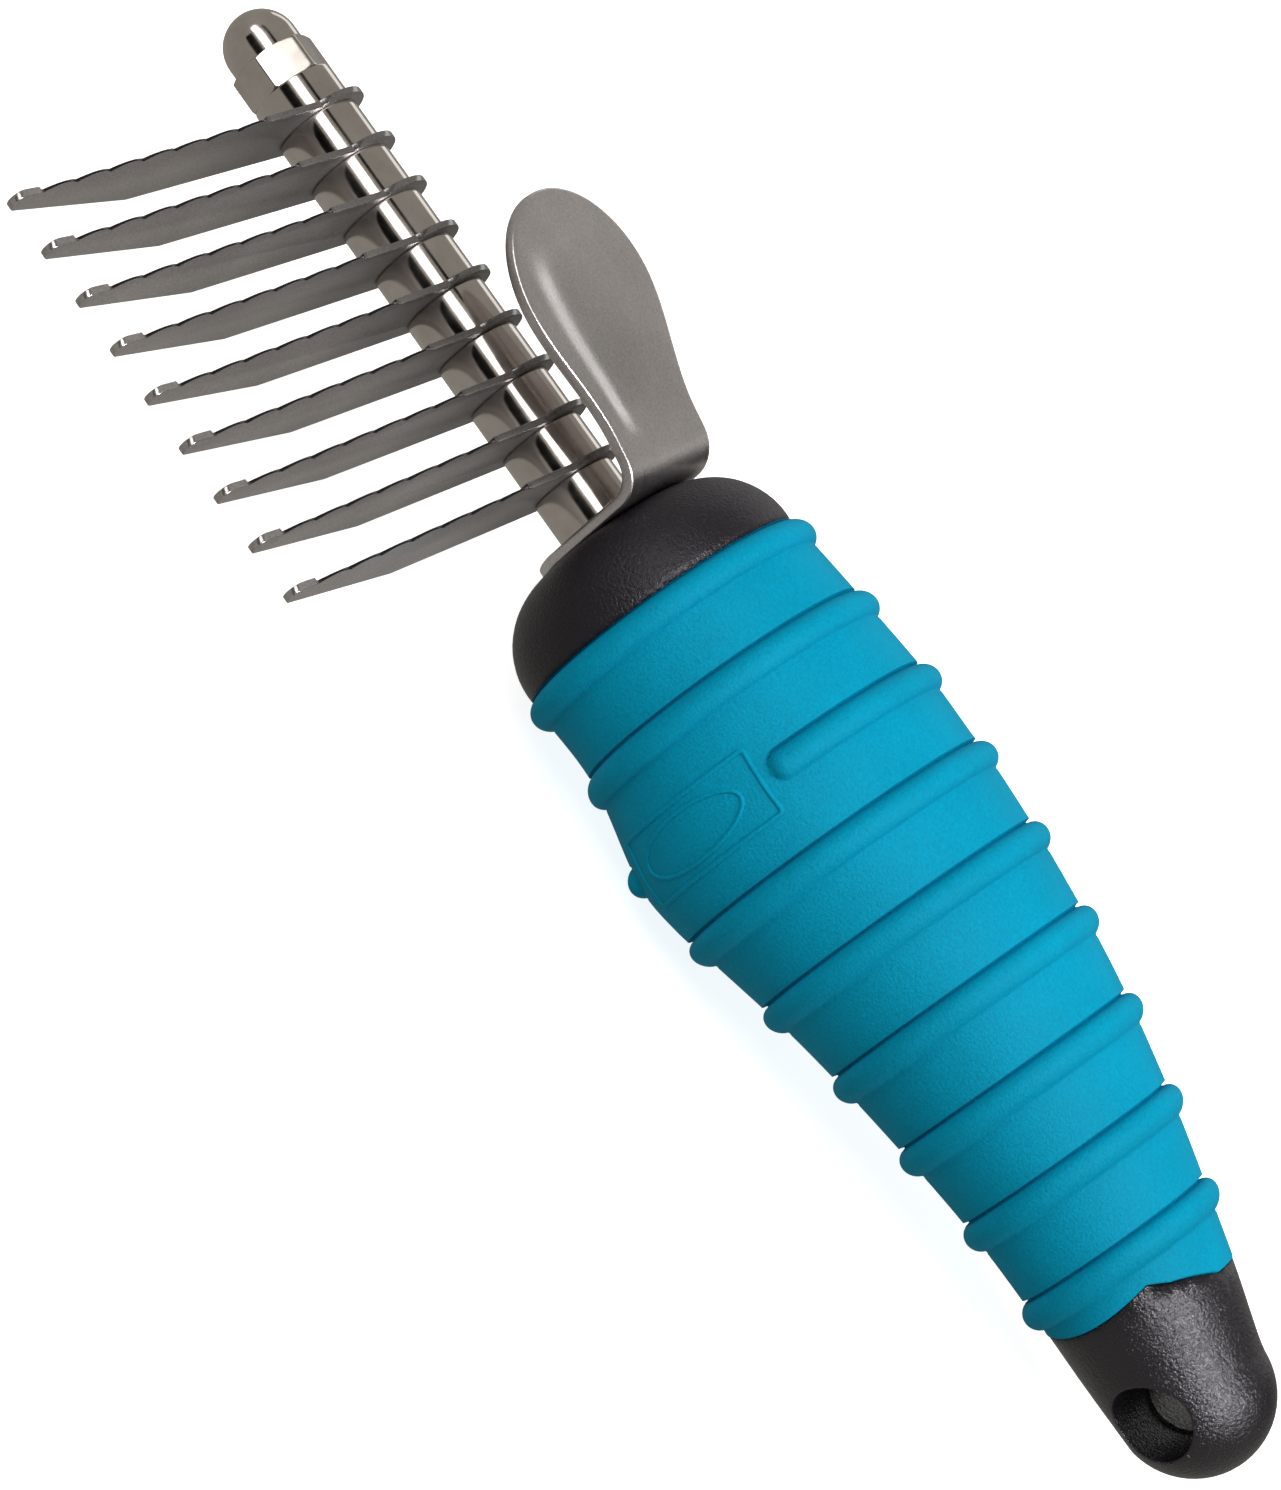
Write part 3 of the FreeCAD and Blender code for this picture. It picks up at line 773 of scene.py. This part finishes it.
def make_nut():
    """Hexagon with turned-off corners, a neck step and a full dome, bored blind."""
    low, high = node_box("cap_nut")
    flat, dome, hex_height, bore_depth = 5.0, 4.85, 4.8, 8.0
    corner = flat / math.cos(math.pi / 6)
    first_flat = math.radians(50)
    top_cut, top_rate = 0.6, 1.855
    base_cut, base_rate = 0.3, 1.73
    broken_edge, seat_width = 0.05, 1.2
    fillet_out, fillet_up, neck_up = 0.12, 0.06, 0.3
    sharpness, columns, dome_steps = 70, 240, 24
    turns = [TURN * j / columns for j in range(columns)]

    def hexagon(x, a):
        """Radius of the hexagon at a height, as a smooth minimum of its flats and turned corners."""
        top = corner - top_cut + (hex_height - x) * top_rate
        base = corner - base_cut + x * base_rate
        total = top ** -sharpness + base ** -sharpness
        for k in range(6):
            c = math.cos(a - first_flat - k * math.pi / 3)
            if c > 0:
                total += (c / flat) ** sharpness
        return total ** (-1 / sharpness)

    def hexagon_ring(x):
        sunk = broken_edge if x in (0.0, hex_height) else 0
        radii = [hexagon(x, a) - sunk for a in turns]
        return [at(low.x + x, r * math.cos(a), r * math.sin(a)) for r, a in zip(radii, turns)]

    heights = [0.0, 0.04, 0.1, 0.17, 0.25, 0.35, 0.5, 0.8]
    heights += [hex_height - h for h in reversed(heights)]
    centre = high.x - low.x - dome
    profile = [(hex_height, dome + fillet_out), (hex_height + fillet_up, dome)]
    profile += [(hex_height + neck_up, dome), (centre, dome)]
    for k in range(1, dome_steps):
        t = math.pi / 2 * k / dome_steps
        profile.append((centre + dome * math.sin(t), dome * math.cos(t)))
    bore = [(bore_depth, BORE_RADIUS), (0, BORE_RADIUS), (0, corner - seat_width)]
    rings = [circle(low.x + x, r, columns) for x, r in bore]
    rings += [hexagon_ring(h) for h in heights]
    rings += [circle(low.x + x, r, columns) for x, r in profile]
    return new_object("domed_nut", *ring_grid(rings, capped=True), 32)


def make_stack():
    """Blades with rounded edges, the spacers between them, the collar and the nut."""
    blade_edge, spacer_edge = 0.11, 0.22
    for name in sorted(nodes):
        if name.startswith("blade_"):
            obj = refined_copy(name, name.replace("blade_", "tine_"), blade_edge, 30)
            place(obj, "rake", BLADE, "blade_steel", name)
        elif name.startswith("spacer_") or name in ("base_spacer", "end_collar"):
            low, high = node_box(name)
            profile = tube_profile(low.x, high.x, (high.y - low.y) / 2, BORE_RADIUS, spacer_edge)
            body = "collar" if name == "end_collar" else "rake"
            place(lathe(name + "_tube", profile), body, POLISHED, "polished_steel", name)
    place(make_nut(), "nut", POLISHED, "polished_steel", "cap_nut")


def make_core():
    """The moulded core with the rims of its hanging hole rounded over."""
    rim, near_wall = 0.3, 0.02
    mesh = nodes["handle_core"].data.copy()
    mesh.name = "core_body"
    bm = bmesh.new()
    bm.from_mesh(mesh)
    bmesh.ops.remove_doubles(bm, verts=bm.verts, dist=1e-6)

    def is_wall(face):
        return all(abs(math.hypot(v.co.x, v.co.z) / MM - HOLE_RADIUS) < near_wall for v in face.verts)

    rims = []
    for e in bm.edges:
        if len(e.link_faces) == 2 and is_wall(e.link_faces[0]) != is_wall(e.link_faces[1]):
            rims.append(e)
    bmesh.ops.bevel(bm, geom=rims, offset=rim * MM, segments=3, profile=0.5, affect="EDGES",
                    clamp_overlap=False, loop_slide=True)
    bm.to_mesh(mesh)
    bm.free()
    mesh.shade_smooth()
    mesh.set_sharp_from_angle(angle=math.radians(38))
    place(linked("core_body", mesh), "rake", BLACK, "black_plastic", "handle_core")


def paint_insert():
    """The insert stays as CAD made it, in brass."""
    mesh = nodes["post_insert"].data
    mesh.materials.clear()
    mesh.materials.append(BRASS)
    mesh.shade_smooth()
    mesh.set_sharp_from_angle(angle=math.radians(35))


make_sleeve()
make_panel()
make_hole_seam()
make_bracket()
make_rod()
make_stack()
make_core()
paint_insert()

# ---------------------------------------------------------------- floor, lights, camera

def flat_sheet(name, corners, material):
    """One four-cornered face, in metres."""
    mesh = bpy.data.meshes.new(name)
    mesh.from_pydata(corners, [], [(0, 1, 2, 3)])
    mesh.materials.append(material)
    return linked(name, mesh)


def make_floor():
    """A plain pale floor under the rake, which neither lights the rake nor shows in it."""
    half, z = 6, cad_box[0].z
    paint = Nodes("floor_paint").put(Base_Color=(0.9, 0.9, 0.9, 1), Roughness=0.9,
                                     Emission_Color=(1, 1, 1, 1), Emission_Strength=0.82)
    corners = [(-half, -half, z), (half, -half, z), (half, half, z), (-half, half, z)]
    floor = flat_sheet("floor", corners, paint)
    floor.visible_diffuse = False
    floor.visible_glossy = False


def make_world():
    """An even, slightly warm surrounding light."""
    world = bpy.data.worlds.new("studio")
    bpy.context.scene.world = world
    world.use_nodes = True
    background = world.node_tree.nodes["Background"]
    background.inputs["Color"].default_value = (1.0, 0.975, 0.90, 1)
    background.inputs["Strength"].default_value = 0.30
    bpy.context.scene.view_settings.view_transform = "Standard"


def area_light(name, position, target, size, power, colour=(1, 1, 1)):
    """A rectangular lamp at a position, aimed at a target, both in metres."""
    data = bpy.data.lights.new(name, "AREA")
    data.shape = "RECTANGLE"
    data.size, data.size_y = size
    data.energy = power
    data.color = colour
    lamp = linked(name, data)
    lamp.location = position
    lamp.rotation_mode = "QUATERNION"
    lamp.rotation_quaternion = (Vector(target) - Vector(position)).to_track_quat("-Z", "Y")
    lamp.visible_camera = False
    return lamp


def make_lights():
    """A soft main light, a glint on the tail, a strip along the post and a low light behind."""
    main = area_light("main", (-0.30, 0.06, 0.80), (0.06, 0.0, 0.0), (0.7, 0.5), 6.0)
    main.visible_glossy = False
    glint = area_light("glint", (-0.50, 0.34, 0.77), (-0.20, 0.0, 0.0), (0.70, 0.2), 13.0, (0.96, 0.94, 1.0))
    glint.visible_diffuse = False
    area_light("strip", (0.72, 0.49, 0.69), (0.72, 0.0, 0.0), (1.3, 0.32), 4.0)
    area_light("back", (0.36, -0.92, 0.20), (0.36, 0.0, 0.0), (1.2, 0.28), 0.9)


def dark_card(name, paint, elevation, centre_x, length, height):
    """A black card that only shows in reflections, to give polished metal its dark lines."""
    distance = 0.95
    e = math.radians(elevation)
    centre = Vector((centre_x, 0, 0)) + Vector((0, math.cos(e), math.sin(e))) * distance
    up = Vector((0, -math.sin(e), math.cos(e))) * (height / 2)
    along = Vector((length / 2, 0, 0))
    corners = [centre - along - up, centre + along - up, centre + along + up, centre - along + up]
    card = flat_sheet(name, corners, paint)
    card.visible_camera = False
    card.visible_diffuse = False
    card.visible_shadow = False


def make_cards():
    """Cards in front of, over and behind the rake."""
    paint = Nodes("card_black").put(Base_Color=(0.004, 0.004, 0.004, 1), Roughness=1.0,
                                    Specular_IOR_Level=0.0)
    dark_card("card_front", paint, 24.0, 0.1, 1.8, 0.42)
    dark_card("card_top", paint, 79.0, 0.1, 1.8, 0.13)
    dark_card("card_back", paint, 175.0, -0.80, 1.0, 0.5)


def make_camera():
    """The photo's view, from its fitted line of sight and the fitted direction of its right."""
    data = bpy.data.cameras.new("camera")
    data.sensor_width = 36.0
    data.lens = 103.893
    data.clip_start = 0.01
    data.clip_end = 50.0
    forward = Vector((0.099416, -0.803383, -0.587104)).normalized()
    right = Vector((-0.576188, -0.527521, 0.624283)).normalized()
    up = right.cross(forward)
    camera = linked("camera", data)
    camera.matrix_world = Matrix((right, up, -forward)).transposed().to_4x4()
    camera.location = (0.048924, 0.422925, 0.298933)
    bpy.context.scene.camera = camera


make_floor()
make_world()
make_lights()
make_cards()
make_camera()

bpy.context.view_layer.update()
